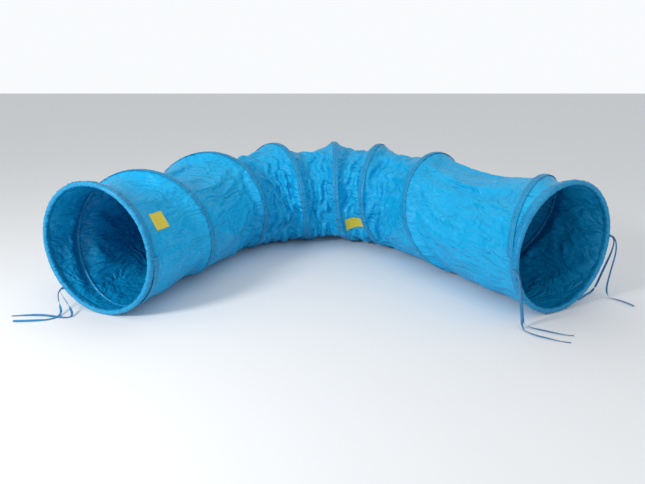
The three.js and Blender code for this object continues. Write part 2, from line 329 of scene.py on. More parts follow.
def casing_nylon():
    """The casing's tape, with rows of lockstitch along it; its second cloth direction is across."""
    nodes = nylon("casing_nylon", (0.002, 0.245, 0.510, 1), (0.020, 0.380, 0.650, 1),
                  (0.000, 0.130, 0.320, 1), 0.8)
    uv = nodes.add("UVMap", {"uv_map": "cloth"}).outputs["UV"]
    split = nodes.add("SeparateXYZ", Vector=uv)
    dash = nodes.maths("FRACT", nodes.maths("MULTIPLY", split.outputs[0], 1 / 0.0042))
    thread = nodes.span(dash, 0.16, 0.30)
    rows = None
    for place in (-0.0128, -0.0052, 0.0052, 0.0128):
        gap = nodes.maths("ABSOLUTE", nodes.maths("SUBTRACT", split.outputs[1], place))
        row = nodes.span(gap, 0.0009, 0.0004)
        rows = row if rows is None else nodes.maths("MAXIMUM", rows, row)
    stitches = nodes.maths("MULTIPLY", rows, thread)
    base = nodes.shader.inputs["Base Color"].links[0].from_socket
    holes = nodes.mix(nodes.maths("MULTIPLY", rows, 0.55), base, (0.001, 0.085, 0.24, 1))
    nodes.put(nodes.shader.inputs["Base Color"], nodes.mix(stitches, holes, (0.060, 0.460, 0.760, 1)))
    normal = nodes.shader.inputs["Normal"].links[0].from_socket
    nodes.put(nodes.shader.inputs["Normal"], nodes.bump(stitches, 0.0004, 0.8, normal))
    return nodes


def label_cloth():
    """A blank woven label: fine twill, a folded and stitched edge and a little soiling."""
    nodes = Nodes("label_cloth")
    place = nodes.add("TexCoord").outputs["Object"]
    uv = nodes.add("UVMap", {"uv_map": "cloth"}).outputs["UV"]
    split = nodes.add("SeparateXYZ", Vector=uv)
    diagonal = nodes.maths("ADD", split.outputs[0], split.outputs[1])
    twill = nodes.maths("SINE", nodes.maths("MULTIPLY", diagonal, 2 * math.pi / 0.0013))
    edge = nodes.maths("MAXIMUM", nodes.maths("ABSOLUTE", split.outputs[0]),
                       nodes.maths("ABSOLUTE", split.outputs[1]))
    row = nodes.span(nodes.maths("ABSOLUTE", nodes.maths("SUBTRACT", edge, 0.0405)), 0.0010, 0.0004)
    along = nodes.maths("FRACT", nodes.maths("MULTIPLY", diagonal, 1 / 0.0045))
    stitch = nodes.maths("MULTIPLY", row, nodes.span(along, 0.15, 0.3))
    soil = nodes.noise(place, 40.0, 4.0, 0.6)
    tone = nodes.mix(nodes.span(soil, 0.4, 0.75, 0.0, 0.5), (0.84, 0.66, 0.035, 1), (0.66, 0.49, 0.02, 1))
    tone = nodes.mix(nodes.maths("MULTIPLY_ADD", twill, 0.07, 0.07), tone, (0.95, 0.80, 0.12, 1))
    tone = nodes.mix(nodes.maths("MULTIPLY", row, 0.5), tone, (0.45, 0.32, 0.01, 1))
    nodes.put(nodes.shader.inputs["Base Color"], nodes.mix(stitch, tone, (0.93, 0.80, 0.18, 1)))
    nodes.put(nodes.shader.inputs["Roughness"], nodes.maths("MULTIPLY_ADD", soil, 0.25, 0.5))
    normal = nodes.bump(twill, 0.0002, 0.5)
    nodes.put(nodes.shader.inputs["Normal"], nodes.bump(stitch, 0.0005, 0.8, normal))
    nodes.shader.inputs["Sheen Weight"].default_value = 0.2
    return nodes


def tape_cloth():
    """Narrow woven polyester tape: a herringbone rib and firm edges."""
    nodes = Nodes("tape_cloth")
    place = nodes.add("TexCoord").outputs["Object"]
    uv = nodes.add("UVMap", {"uv_map": "cloth"}).outputs["UV"]
    split = nodes.add("SeparateXYZ", Vector=uv)
    side = nodes.maths("ABSOLUTE", split.outputs[1])
    rib = nodes.maths("SINE", nodes.maths("MULTIPLY", nodes.maths("ADD", split.outputs[0], side),
                                          2 * math.pi / 0.0012))
    edge = nodes.span(side, 0.0034, 0.0046)
    wear = nodes.noise(place, 60.0, 4.0, 0.6)
    tone = nodes.mix(nodes.span(wear, 0.35, 0.7), (0.004, 0.150, 0.360, 1), (0.012, 0.250, 0.520, 1))
    tone = nodes.mix(nodes.maths("MULTIPLY_ADD", rib, 0.15, 0.15), tone, (0.03, 0.34, 0.62, 1))
    nodes.put(nodes.shader.inputs["Base Color"],
              nodes.mix(nodes.maths("MULTIPLY", edge, 0.5), tone, (0.002, 0.09, 0.24, 1)))
    nodes.put(nodes.shader.inputs["Roughness"], nodes.maths("MULTIPLY_ADD", wear, 0.2, 0.6))
    nodes.put(nodes.shader.inputs["Normal"], nodes.bump(rib, 0.0002, 0.8))
    nodes.shader.inputs["Sheen Weight"].default_value = 0.25
    return nodes


def drawn_steel(name, colour, roughness):
    """Metal with lengthwise drawing marks and a faint oil film."""
    nodes = Nodes(name)
    place = nodes.add("TexCoord").outputs["Object"]
    film = nodes.noise(place, 30.0, 3.0)
    marks = nodes.noise(nodes.stretched(place, (40.0, 40.0, 900.0)), 1.0, 3.0)
    dark = tuple(0.6 * c for c in colour[:3]) + (1,)
    nodes.put(nodes.shader.inputs["Base Color"], nodes.mix(nodes.span(film, 0.4, 0.7), colour, dark))
    nodes.put(nodes.shader.inputs["Roughness"], nodes.maths("MULTIPLY_ADD", marks, 0.2, roughness))
    nodes.put(nodes.shader.inputs["Normal"], nodes.bump(marks, 0.00005, 0.5))
    nodes.shader.inputs["Metallic"].default_value = 1.0
    return nodes


# ---------------------------------------------------------------- meshes

def make_object(name, points, faces, nodes, uv=None):
    """A smooth mesh object with one material, and with its cloth coordinates in metres."""
    mesh = bpy.data.meshes.new(name)
    mesh.from_pydata([tuple(p) for p in points], [], faces)
    mesh.materials.append(nodes.material)
    mesh.shade_smooth()
    if uv is not None:
        layer = mesh.uv_layers.new(name="cloth")
        corner = np.empty(len(mesh.loops), np.int32)
        mesh.loops.foreach_get("vertex_index", corner)
        layer.data.foreach_set("uv", np.asarray(uv, np.float32)[corner].ravel())
    obj = bpy.data.objects.new(name, mesh)
    bpy.context.collection.objects.link(obj)
    return obj


def grid_faces(rows, columns, closed_columns=False, closed_rows=False, offset=0, flip=False):
    """Four-sided faces for a grid of points stored row by row."""
    faces = []
    for i in range(rows if closed_rows else rows - 1):
        for j in range(columns if closed_columns else columns - 1):
            a = offset + i * columns + j
            b = offset + i * columns + (j + 1) % columns
            c = offset + (i + 1) % rows * columns + (j + 1) % columns
            d = offset + (i + 1) % rows * columns + j
            faces.append((d, c, b, a) if flip else (a, b, c, d))
    return faces


def swept(name, sections, nodes, uv_along, uv_across):
    """A solid through closed sections, capped at both ends."""
    rows, columns = len(sections), len(sections[0])
    faces = grid_faces(rows, columns, closed_columns=True)
    faces.append(tuple(range(columns - 1, -1, -1)))
    faces.append(tuple((rows - 1) * columns + j for j in range(columns)))
    uv = [(u, v) for u in uv_along for v in uv_across]
    obj = make_object(name, [p for section in sections for p in section], faces, nodes, uv)
    for cap in obj.data.polygons[-2:]:
        cap.use_smooth = False
    return obj


LABEL_SIZE = 0.090
LABELS = {                           # distance along the axis, angle on the wall in degrees, bay
    "label_left_leg": (0.155, 28, 0),
    "label_bend": (1.935, -34, 4),
    "label_right_leg": (3.140, 192, 6),
}

# ---------------------------------------------------------------- fabric

COLUMNS = 132                        # around, in the simulated cloth
ROW_STEP = 0.0138


def cloth_rows():
    """Distances along the axis of the cloth's rows, with one at every station."""
    rows = [0.0]
    for start, end in zip(STATIONS[:-1], STATIONS[1:]):
        count = max(2, round((end - start) / ROW_STEP))
        rows += [start + (end - start) * k / count for k in range(1, count + 1)]
    return np.array(rows)


def cut_lengths():
    """Cut length of each bay, from its length on the outside of the bend."""
    lengths = []
    for start, end, gather in zip(STATIONS[:-1], STATIONS[1:], GATHER):
        bent = min(max(end - LEFT_STRAIGHT, 0), BEND_LENGTH) - min(max(start - LEFT_STRAIGHT, 0), BEND_LENGTH)
        lengths.append(gather * (end - start + bent * CLOTH_RADIUS / BEND_RADIUS))
    return lengths


def label_place(distance, degrees):
    """Where a label is on the flat cloth: along from the left mouth, and around."""
    cuts = np.concatenate([[0], np.cumsum(cut_lengths())])
    return float(np.interp(distance, STATIONS, cuts)), math.radians(degrees % 360) * CLOTH_RADIUS


def coil_gap(distance, angle):
    """Distance along the axis from a wall point to the nearest pass of the coil, with its sign."""
    phase = (-np.asarray(angle) / (2 * math.pi)) % 1.0
    best = np.full(np.broadcast(distance, angle).shape, 9.0)
    for turn in range(BAYS):
        gap = distance - coil_distance(turn + phase)
        best = np.where(np.abs(gap) < np.abs(best), gap, best)
    return best


def slack_share(distance, angle):
    """0 where the cloth is pulled straight and 1 on the inside of the bend."""
    bend_end = LEFT_STRAIGHT + BEND_LENGTH
    bend = smooth(distance, LEFT_STRAIGHT - 0.10, LEFT_STRAIGHT + 0.20)
    bend = bend * (1 - smooth(distance, bend_end - 0.20, bend_end + 0.10))
    return bend * (0.5 + 0.5 * np.cos(angle))


def wall_noise(rows, angles, along, around, seed):
    """Smooth noise over the tube's wall, with its own fineness along and around."""
    return np.array([[noise.noise((along * s + seed, around * math.cos(a), around * math.sin(a)))
                      for a in angles] for s in rows])


def start_cloth(rows, angles):
    """The cloth before it is let go: it dips between the passes of the coil and folds inside the bend."""
    distance, angle = np.meshgrid(rows, angles, indexing="ij")
    mouth = mouth_share(distance)
    gap = coil_gap(distance, angle)
    slack = slack_share(distance, angle)
    broad = wall_noise(rows, angles, 6.0, 2.4, 0.0)
    pleats = wall_noise(rows, angles, 3.0, 8.0, 8.0)
    free = smooth(np.abs(gap), 0.010, 0.075) * (1 - mouth)
    under = smooth(-np.sin(angle), 0.55, 0.95)
    dip = (0.036 + 0.022 * slack) * (1 - 0.7 * under)
    folds = slack * 0.012 * np.sin(2 * math.pi * distance / 0.105 + 5 * broad + 3 * pleats)
    radius = CLOTH_RADIUS + (HEM_RADIUS - CLOTH_RADIUS) * mouth
    radius = radius - free * (dip + 0.022 * broad + 0.010 * pleats + folds)
    height = TUBE_RADIUS + (RIM_HEIGHT - TUBE_RADIUS) * mouth
    points = wall(distance, angle, radius, height)
    points[..., 2] = np.maximum(points[..., 2], 0.0015)
    held = (np.abs(gap) < 0.0105) | (distance < 0.012) | (distance > TOTAL_LENGTH - 0.012)
    return points, held


def slack_cloth(rows, angles):
    """The lengths the cloth is let go with: slack by a little on the legs and by more inside the bend."""
    bent = (rows > LEFT_STRAIGHT) & (rows < LEFT_STRAIGHT + BEND_LENGTH)
    turned = np.clip((rows - LEFT_STRAIGHT) / BEND_LENGTH, 0, 1) * SLACK_BEND_ANGLE
    ahead = np.stack([np.sin(turned), np.cos(turned), 0 * turned], -1)
    right = np.stack([np.cos(turned), -np.sin(turned), 0 * turned], -1)
    step = np.diff(rows, prepend=0.0) * np.where(bent, BEND_SLACK, LEG_SLACK)
    centre = np.cumsum(step[:, None] * ahead, axis=0) + np.array([0, 0, 0.5])
    up = np.array([0.0, 0.0, 1.0])
    out = right[:, None] * np.cos(angles)[:, None] + up * np.sin(angles)[:, None]
    return centre[:, None] + CLOTH_RADIUS * out


def calm(points, held):
    """Takes out folds too small for the grid and leaves the held points where they are."""
    free = (~held)[1:-1, :, None]
    for _ in range(2):
        inner = points[1:-1]
        mean = (points[:-2] + points[2:] + np.roll(inner, 1, 1) + np.roll(inner, -1, 1)) / 4
        points[1:-1] = np.where(free, 0.45 * inner + 0.55 * mean, inner)
    return points


def drape(floor):
    """Lets the gathered cloth hang from the coil, and gives its grid of points back."""
    rows = cloth_rows()
    angles = np.arange(COLUMNS) * 2 * math.pi / COLUMNS
    points, held = start_cloth(rows, angles)
    mesh = bpy.data.meshes.new("drape")
    mesh.from_pydata([tuple(p) for p in points.reshape(-1, 3)], [],
                     grid_faces(len(rows), COLUMNS, closed_columns=True))
    obj = bpy.data.objects.new("drape", mesh)
    bpy.context.collection.objects.link(obj)
    obj.shape_key_add(name="laid")
    cut = obj.shape_key_add(name="cut")
    cut.data.foreach_set("co", slack_cloth(rows, angles).ravel().astype(np.float32))
    pins = obj.vertex_groups.new(name="held")
    pins.add([int(k) for k in np.flatnonzero(held.ravel())], 1.0, "REPLACE")
    floor.modifiers.new("collision", "COLLISION")
    floor.collision.thickness_outer = 0.001
    floor.collision.cloth_friction = 20
    cloth = obj.modifiers.new("cloth", "CLOTH")
    settings = cloth.settings
    settings.quality = 5
    settings.mass = 0.10
    settings.air_damping = 2.0
    settings.tension_stiffness = 22
    settings.compression_stiffness = 14
    settings.shear_stiffness = 4
    settings.bending_stiffness = 1.5
    settings.tension_damping = 8
    settings.compression_damping = 8
    settings.shear_damping = 4
    settings.bending_damping = 0.3
    settings.vertex_group_mass = "held"
    settings.pin_stiffness = 20
    settings.rest_shape_key = cut
    cloth.collision_settings.distance_min = 0.0015
    cloth.collision_settings.use_self_collision = False
    scene = bpy.context.scene
    frames = 24
    cloth.point_cache.frame_start = 1
    cloth.point_cache.frame_end = frames
    for number in range(1, frames + 1):
        scene.frame_set(number)
    shaped = obj.evaluated_get(bpy.context.evaluated_depsgraph_get()).data
    result = np.empty(len(shaped.vertices) * 3, np.float32)
    shaped.vertices.foreach_get("co", result)
    floor.modifiers.remove(floor.modifiers["collision"])
    bpy.data.objects.remove(obj)
    scene.frame_set(1)
    return rows, calm(result.reshape(len(rows), COLUMNS, 3).astype(float), held)


def finer(values, closed):
    """Twice the rows, through the old ones, on a smooth curve."""
    if closed:
        before, after, later = np.roll(values, 1, 0), np.roll(values, -1, 0), np.roll(values, -2, 0)
        middle = (9 * (values + after) - before - later) / 16
        return np.stack([values, middle], 1).reshape(-1, *values.shape[1:])
    padded = np.concatenate([2 * values[:1] - values[1:2], values, 2 * values[-1:] - values[-2:-1]])
    middle = (9 * (padded[1:-2] + padded[2:-1]) - padded[:-3] - padded[3:]) / 16
    result = np.empty((2 * len(values) - 1, *values.shape[1:]))
    result[0::2] = values
    result[1::2] = middle
    return result


def surface_normals(points):
    """Unit normals of the tube's grid, pointing into the tube."""
    along = np.gradient(points, axis=0)
    around = (np.roll(points, -1, 1) - np.roll(points, 1, 1)) / 2
    normal = np.cross(around, along)
    return normal / np.maximum(np.linalg.norm(normal, axis=2, keepdims=True), 1e-9)


def crease(points, rows, angles):
    """Fine gathers at the casings and hems, and crumples everywhere, as depths into the tube."""
    distance, angle = np.meshgrid(rows, angles, indexing="ij")
    gap = coil_gap(distance, angle)
    edge = np.minimum(distance, TOTAL_LENGTH - distance)
    swing = wall_noise(rows, angles, 4.0, 2.0, 12.0)
    folds = np.sin(2 * math.pi * distance / 0.078 + 7 * swing)
    height = 0.0075 * slack_share(distance, angle) ** 0.7 * smooth(np.abs(gap), 0.014, 0.045) * folds
    for i in range(points.shape[0]):
        for j in range(points.shape[1]):
            s, a = distance[i, j], angle[i, j]
            round_x, round_y = math.cos(a), math.sin(a)
            sewn = min(abs(gap[i, j]), edge[i, j])
            gathers = noise.noise((2.2 * s, 26 * round_x, 26 * round_y))
            crumple = noise.noise((11 * s, 9 * round_x + 3, 9 * round_y))
            crackle = 1 - abs(noise.noise((16 * s + 9, 11 * round_x, 11 * round_y))) * 2
            near = math.exp(-((sewn / 0.075) ** 2)) * min(1.0, max(0.0, (sewn - 0.010) / 0.012))
            free = min(1.0, max(0.0, (sewn - 0.016) / 0.03))
            height[i, j] += 0.0042 * near * gathers + free * (0.0022 * crumple + 0.0024 * crackle ** 3)
    return height


def label_stretch(middle, degrees):
    """Length along the cloth at a label for each length of the centre line."""
    bend = LEFT_STRAIGHT < middle < LEFT_STRAIGHT + BEND_LENGTH
    return 1 - math.cos(math.radians(degrees)) * TUBE_RADIUS / BEND_RADIUS if bend else 1.0


def label_span(distance, angle, middle, degrees):
    """How far each wall point is from a label's middle, along and around the cloth."""
    turn = (angle - math.radians(degrees) + math.pi) % (2 * math.pi) - math.pi
    return (distance - middle) * label_stretch(middle, degrees), turn * TUBE_RADIUS


def flatten_at_labels(points, distance, angle):
    """A sewn label stiffens the cloth, so it lies smooth under the label."""
    for middle, degrees, _ in LABELS.values():
        x, y = label_span(distance, angle, middle, degrees)
        reach = np.maximum(np.abs(x), np.abs(y))
        near = reach < 0.080
        x, y, weight = x[near], y[near], 1 - smooth(reach[near], 0.052, 0.078)
        terms = np.stack([np.ones_like(x), x, y, x * x, x * y, y * y], -1)
        fit, *_ = np.linalg.lstsq(terms * weight[:, None], points[near] * weight[:, None], rcond=None)
        points[near] += (terms @ fit - points[near]) * weight[:, None]


def unroll_seam(piece, columns):
    """The last strip around runs on to the cloth's full width instead of back to nothing."""
    mesh = piece.data
    corner = np.empty(len(mesh.loops), np.int32)
    mesh.loops.foreach_get("vertex_index", corner)
    column = (corner % columns).reshape(-1, 4)
    last = (column == 0).any(axis=1) & (column == columns - 1).any(axis=1)
    wrapped = (last[:, None] & (column == 0)).ravel()
    layer = mesh.uv_layers["cloth"].data
    uv = np.empty(2 * len(mesh.loops), np.float32)
    layer.foreach_get("uv", uv)
    uv[1::2][wrapped] += 2 * math.pi * CLOTH_RADIUS
    layer.foreach_set("uv", uv)


def split_fabric(rows, points, inner_nodes, outer_nodes):
    """One closed thin sheet for each bay, with the whole tube's normals so that no joint shows.

    The finer points are the inner skin, and the outer skin is a cloth's thickness further out.
    """
    fine = finer(points, closed=False)
    fine = finer(fine.swapaxes(0, 1), closed=True).swapaxes(0, 1)
    fine_rows = finer(rows[:, None], closed=False)[:, 0]
    columns = fine.shape[1]
    angles = np.arange(columns) * 2 * math.pi / columns
    fine = fine + surface_normals(fine) * crease(fine, fine_rows, angles)[..., None]
    flatten_at_labels(fine, *np.meshgrid(fine_rows, angles, indexing="ij"))
    fine[..., 2] = np.maximum(fine[..., 2], INNER_SKIN_REST)
    inward = surface_normals(fine)
    outer = fine - inward * CLOTH_THICKNESS
    outer[..., 2] = np.maximum(outer[..., 2], OUTER_SKIN_REST)
    cuts = np.concatenate([[0], np.cumsum(cut_lengths())])
    along = np.interp(fine_rows, STATIONS, cuts)
    pieces = []
    for bay, (start, end) in enumerate(zip(STATIONS[:-1], STATIONS[1:])):
        keep = np.flatnonzero((fine_rows > start - 1e-6) & (fine_rows < end + 1e-6))
        count = len(keep)
        skins = np.concatenate([fine[keep].reshape(-1, 3), outer[keep].reshape(-1, 3)])
        faces = grid_faces(count, columns, closed_columns=True)
        faces += grid_faces(count, columns, closed_columns=True, offset=count * columns, flip=True)
        half = count * columns
        for row, turned in ((0, True), (count - 1, False)):
            for j in range(columns):
                a, b = row * columns + j, row * columns + (j + 1) % columns
                loop = (a, b, b + half, a + half)
                faces.append(loop if turned else loop[::-1])
        sheet_uv = np.stack(np.meshgrid(along[keep], angles * CLOTH_RADIUS, indexing="ij"), -1).reshape(-1, 2)
        piece = make_object(f"fabric_{bay + 1}", skins, faces, inner_nodes,
                            np.concatenate([sheet_uv, sheet_uv]))
        unroll_seam(piece, columns)
        piece.data.materials.append(outer_nodes.material)
        for polygon in piece.data.polygons[(count - 1) * columns:]:
            polygon.material_index = 1
        normals = inward[keep].reshape(-1, 3)
        piece.data.normals_split_custom_set_from_vertices(np.concatenate([normals, -normals]).tolist())
        pieces.append(piece)
    return fine, fine_rows, pieces


# ---------------------------------------------------------------- coil and casing

CASING_STEPS = 300


def coil_frame(turn, steps, radius):
    """Points of one turn of the coil, and its directions outward and across."""
    turns = turn + np.linspace(0, 1, steps + 1)
    angle = -2 * math.pi * turns
    distance = coil_distance(turns)
    points = wall(distance, angle, np.full(turns.shape, radius))
    step = 1e-4
    along = (wall(coil_distance(turns + step), angle - 2 * math.pi * step, np.full(turns.shape, radius))
             - wall(coil_distance(turns - step), angle + 2 * math.pi * step, np.full(turns.shape, radius)))
    along /= np.linalg.norm(along, axis=1)[:, None]
    centre = axis_at(distance)[0] + np.array([0, 0, TUBE_RADIUS])
    out = points - centre
    out /= np.linalg.norm(out, axis=1)[:, None]
    across = np.cross(along, out)
    across /= np.linalg.norm(across, axis=1)[:, None]
    return points, np.cross(across, along), across


def add_wire(turn, nodes):
    points, out, across = coil_frame(turn, 96, COIL_RADIUS)
    sides = np.arange(10) * 2 * math.pi / 10
    sections = [[p + WIRE_RADIUS * (math.cos(k) * o + math.sin(k) * c) for k in sides]
                for p, o, c in zip(points, out, across)]
    wire = swept(f"wire_{turn + 1}", sections, nodes, np.linspace(0, 1.8, len(points)), sides * WIRE_RADIUS)
    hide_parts(f"spring_wire_turn_{turn + 1}")
    return wire


def casing_profile():
    """Half-thickness of the casing on each side, across it: wings sewn down beside the wire."""
    across = np.linspace(-CASING_HALF, CASING_HALF, 31)
    wing = 0.0014 * np.clip((CASING_HALF - np.abs(across)) / 0.0016, 0.25, 1)
    groove = sum(np.exp(-(((across - row) / 0.0011) ** 2)) for row in (-0.0128, -0.0052, 0.0052, 0.0128))
    bump = np.exp(-((across / 0.0042) ** 2))
    return across, wing - 0.0006 * groove + 0.0019 * bump, wing - 0.0004 * groove + 0.0058 * bump


def add_casing(turn, nodes):
    points, out, across = coil_frame(turn, CASING_STEPS, CLOTH_RADIUS)
    width, outer, inner = casing_profile()
    arc = np.concatenate([[0], np.cumsum(np.linalg.norm(np.diff(points, axis=0), axis=1))])
    sections = []
    for distance, p, o, c in zip(arc, points, out, across):
        section = []
        for w, high in zip(width, outer):
            pucker = noise.noise((60 * w, distance * 75, turn * 9.0)) * 0.0016
            section.append(p + w * c + (high + pucker) * o)
        for w, low in zip(width[::-1], inner[::-1]):
            section.append(p + w * c - low * o)
        sections.append([np.array([q[0], q[1], max(q[2], 0.0004)]) for q in section])
    casing = swept(f"casing_{turn + 1}", sections, nodes, arc, np.concatenate([width, width[::-1]]))
    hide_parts(f"casing_tape_turn_{turn + 1}")
    return casing


# ---------------------------------------------------------------- hems

def add_hem(side, nodes):
    """A gathered hem: a round edge over the end ring, tapering onto the fabric inside the mouth."""
    at_left = side == "left"
    steps, ring = 420, 22
    body = "left_mouth" if at_left else "right_mouth"
    points = []
    for i in range(steps):
        angle = 2 * math.pi * i / steps
        x, y = math.cos(angle), math.sin(angle)
        gathers = noise.noise((34 * x, 34 * y, 1.0 if at_left else 5.0))
        ruffle = noise.noise((13 * x, 13 * y, 8.0))
        for k in range(ring):
            turn = 2 * math.pi * k / ring
            inward, lift = math.cos(turn), math.sin(turn)
            tail = max(0.0, inward) ** 1.5
            reach = HEM_BULB * inward + 0.024 * tail
            thick = HEM_BULB * lift * (1 - 0.55 * tail) * (1 + 0.42 * gathers)
            fold = 0.0026 * gathers * tail + 0.0012 * ruffle
            distance = max(-HEM_BULB, reach)
            s = distance if at_left else TOTAL_LENGTH - distance
            mouth = float(mouth_share(max(distance, 0.0)))
            radius = CLOTH_RADIUS + (HEM_RADIUS - CLOTH_RADIUS) * mouth + thick + fold
            height = TUBE_RADIUS + (RIM_HEIGHT - TUBE_RADIUS) * mouth
            points.append(wall(np.array(s), np.array(angle), radius, height))
    points = np.array(points)
    points[:, 2] = np.maximum(points[:, 2], 0.0003)
    faces = grid_faces(steps, ring, closed_columns=True, closed_rows=True, flip=not at_left)
    uv = [(HEM_RADIUS * 2 * math.pi * i / steps, 0.06 * k / ring) for i in range(steps) for k in range(ring)]
    hem = make_object(f"{side}_hem", points, faces, nodes, uv)
    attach(hem, body)
    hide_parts(f"{side}_mouth_hem")
    return hem


# ---------------------------------------------------------------- labels

def on_fabric(fabric, rows, distance, angle):
    """A point of the fabric at a distance along the axis and an angle, between its grid's points."""
    columns = fabric.shape[1]
    i = float(np.interp(distance, rows, np.arange(len(rows))))
    j = (angle / (2 * math.pi) * columns) % columns
    i0, j0 = min(int(i), len(rows) - 2), int(j)
    u, v = i - i0, j - j0
    j1 = (j0 + 1) % columns
    return ((1 - u) * ((1 - v) * fabric[i0, j0] + v * fabric[i0, j1])
            + u * ((1 - v) * fabric[i0 + 1, j0] + v * fabric[i0 + 1, j1]))


def add_label(name, distance, degrees, fabric, rows, nodes):
    """A square of 90 mm sewn on the outside, following the fabric and puckered by its stitches."""
    half, count = LABEL_SIZE / 2, 26
    steps = np.linspace(-half, half, count)
    middle = math.radians(degrees)
    stretch = label_stretch(distance, degrees)
    base = np.array([[on_fabric(fabric, rows, distance + x / stretch, middle + y / TUBE_RADIUS)
                      for y in steps] for x in steps])
    normal = np.cross(np.gradient(base, axis=1), np.gradient(base, axis=0))
    normal /= np.linalg.norm(normal, axis=2, keepdims=True)
    outward = wall(np.array(distance), np.array(middle), 1.0) - axis_at(distance)[0] - (0, 0, TUBE_RADIUS)
    if (normal * outward).sum() < 0:
        normal = -normal
    skins = []
    for lift in (0.0026, 0.0010):
        for i in range(count):
            for j in range(count):
                pucker = 0.0005 * noise.noise((90 * steps[i], 90 * steps[j], distance * 7))
                skins.append(base[i, j] + normal[i, j] * (lift + pucker))
    faces = grid_faces(count, count, flip=True) + grid_faces(count, count, offset=count * count)
    border = ([(0, j) for j in range(count - 1)] + [(i, count - 1) for i in range(count - 1)]
              + [(count - 1, j) for j in range(count - 1, 0, -1)] + [(i, 0) for i in range(count - 1, 0, -1)])
    indices = [i * count + j for i, j in border]
    for a, b in zip(indices, indices[1:] + indices[:1]):
        faces.append((a, b, b + count * count, a + count * count))
    uv = [(x, y) for _ in range(2) for x in steps for y in steps]
    piece = make_object(f"{name}_cloth", skins, faces, nodes, uv)
    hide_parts(name)
    return piece


# ---------------------------------------------------------------- tie tapes

TAPE_WIDTH = 0.010
TAPE_THICKNESS = 0.0010
TIES = {
    "left": ("left_mouth", 0.0, -136, [
        [(-1.2095, -0.594, 0.091), (-1.212, -0.604, 0.090), (-1.205, -0.622, 0.082),
         (-1.187, -0.642, 0.069), (-1.166, -0.661, 0.051), (-1.147, -0.678, 0.031),
         (-1.135, -0.692, 0.014), (-1.134, -0.705, 0.004), (-1.146, -0.714, 0.0011),
         (-1.165, -0.716, 0.0011), (-1.193, -0.713, 0.0011), (-1.225, -0.705, 0.0011),
         (-1.262, -0.698, 0.0011), (-1.310, -0.694, 0.0011), (-1.355, -0.694, 0.0011),
         (-1.401, -0.696, 0.0011)],
        [(-1.2125, -0.5935, 0.088), (-1.216, -0.603, 0.085), (-1.218, -0.615, 0.077),
         (-1.215, -0.630, 0.062), (-1.207, -0.646, 0.044), (-1.197, -0.662, 0.026),
         (-1.189, -0.679, 0.012), (-1.190, -0.697, 0.005), (-1.197, -0.714, 0.004),
         (-1.210, -0.729, 0.0022), (-1.230, -0.741, 0.0011), (-1.262, -0.750, 0.0011),
         (-1.297, -0.756, 0.0011), (-1.332, -0.759, 0.0011), (-1.366, -0.758, 0.0011)],
    ]),
    "right_inner": ("right_mouth", TOTAL_LENGTH, -10, [
        [(0.771, -0.8065, 0.2475), (0.775, -0.814, 0.244), (0.782, -0.821, 0.228),
         (0.789, -0.821, 0.200), (0.796, -0.818, 0.165), (0.802, -0.814, 0.128),
         (0.809, -0.809, 0.092), (0.815, -0.805, 0.058), (0.821, -0.803, 0.028),
         (0.829, -0.807, 0.009), (0.845, -0.819, 0.002), (0.872, -0.840, 0.0011),
         (0.910, -0.864, 0.0011), (0.950, -0.884, 0.0011), (0.978, -0.892, 0.0011),
         (1.004, -0.896, 0.0011)],
        [(0.7685, -0.8085, 0.247), (0.771, -0.817, 0.243), (0.776, -0.828, 0.226),
         (0.781, -0.832, 0.198), (0.787, -0.830, 0.163), (0.793, -0.827, 0.126),
         (0.799, -0.824, 0.090), (0.805, -0.823, 0.056), (0.809, -0.825, 0.027),
         (0.812, -0.832, 0.009), (0.815, -0.846, 0.002), (0.822, -0.866, 0.0011),
         (0.836, -0.889, 0.0011), (0.862, -0.912, 0.0011), (0.896, -0.932, 0.0011),
         (0.932, -0.948, 0.0011), (0.967, -0.959, 0.0011)],
    ]),
    "right_outer": ("right_mouth", TOTAL_LENGTH, 178, [
        [(1.292, -0.5035, 0.3105), (1.297, -0.512, 0.307), (1.305, -0.520, 0.290),
         (1.311, -0.520, 0.262), (1.313, -0.517, 0.228), (1.312, -0.511, 0.190),
         (1.310, -0.504, 0.150), (1.309, -0.497, 0.110), (1.309, -0.490, 0.072),
         (1.312, -0.486, 0.038), (1.320, -0.487, 0.014), (1.333, -0.495, 0.003),
         (1.349, -0.511, 0.0011), (1.364, -0.534, 0.0011), (1.380, -0.563, 0.0011),
         (1.395, -0.594, 0.0011)],
        [(1.2895, -0.505, 0.3105), (1.293, -0.513, 0.306), (1.298, -0.517, 0.290),
         (1.302, -0.507, 0.262), (1.305, -0.490, 0.226), (1.306, -0.470, 0.188),
         (1.304, -0.452, 0.148), (1.301, -0.436, 0.108), (1.297, -0.424, 0.070),
         (1.290, -0.417, 0.036), (1.278, -0.418, 0.012), (1.262, -0.428, 0.002),
         (1.240, -0.449, 0.0011), (1.213, -0.476, 0.0011), (1.190, -0.498, 0.0011),
         (1.172, -0.515, 0.0011)],
    ]),
}


def smooth_route(route, per_span=3):
    """More points on a smooth curve through a route's given ones."""
    points = np.array(route)
    padded = np.concatenate([2 * points[:1] - points[1:2], points, 2 * points[-1:] - points[-2:-1]])
    result = []
    for k in range(len(points) - 1):
        a, b, c, d = padded[k:k + 4]
        for t in np.arange(per_span) / per_span:
            result.append(0.5 * (2 * b + (c - a) * t + (2 * a - 5 * b + 4 * c - d) * t ** 2
                                 + (3 * b - a - 3 * c + d) * t ** 3))
    result.append(points[-1])
    return np.array(result)


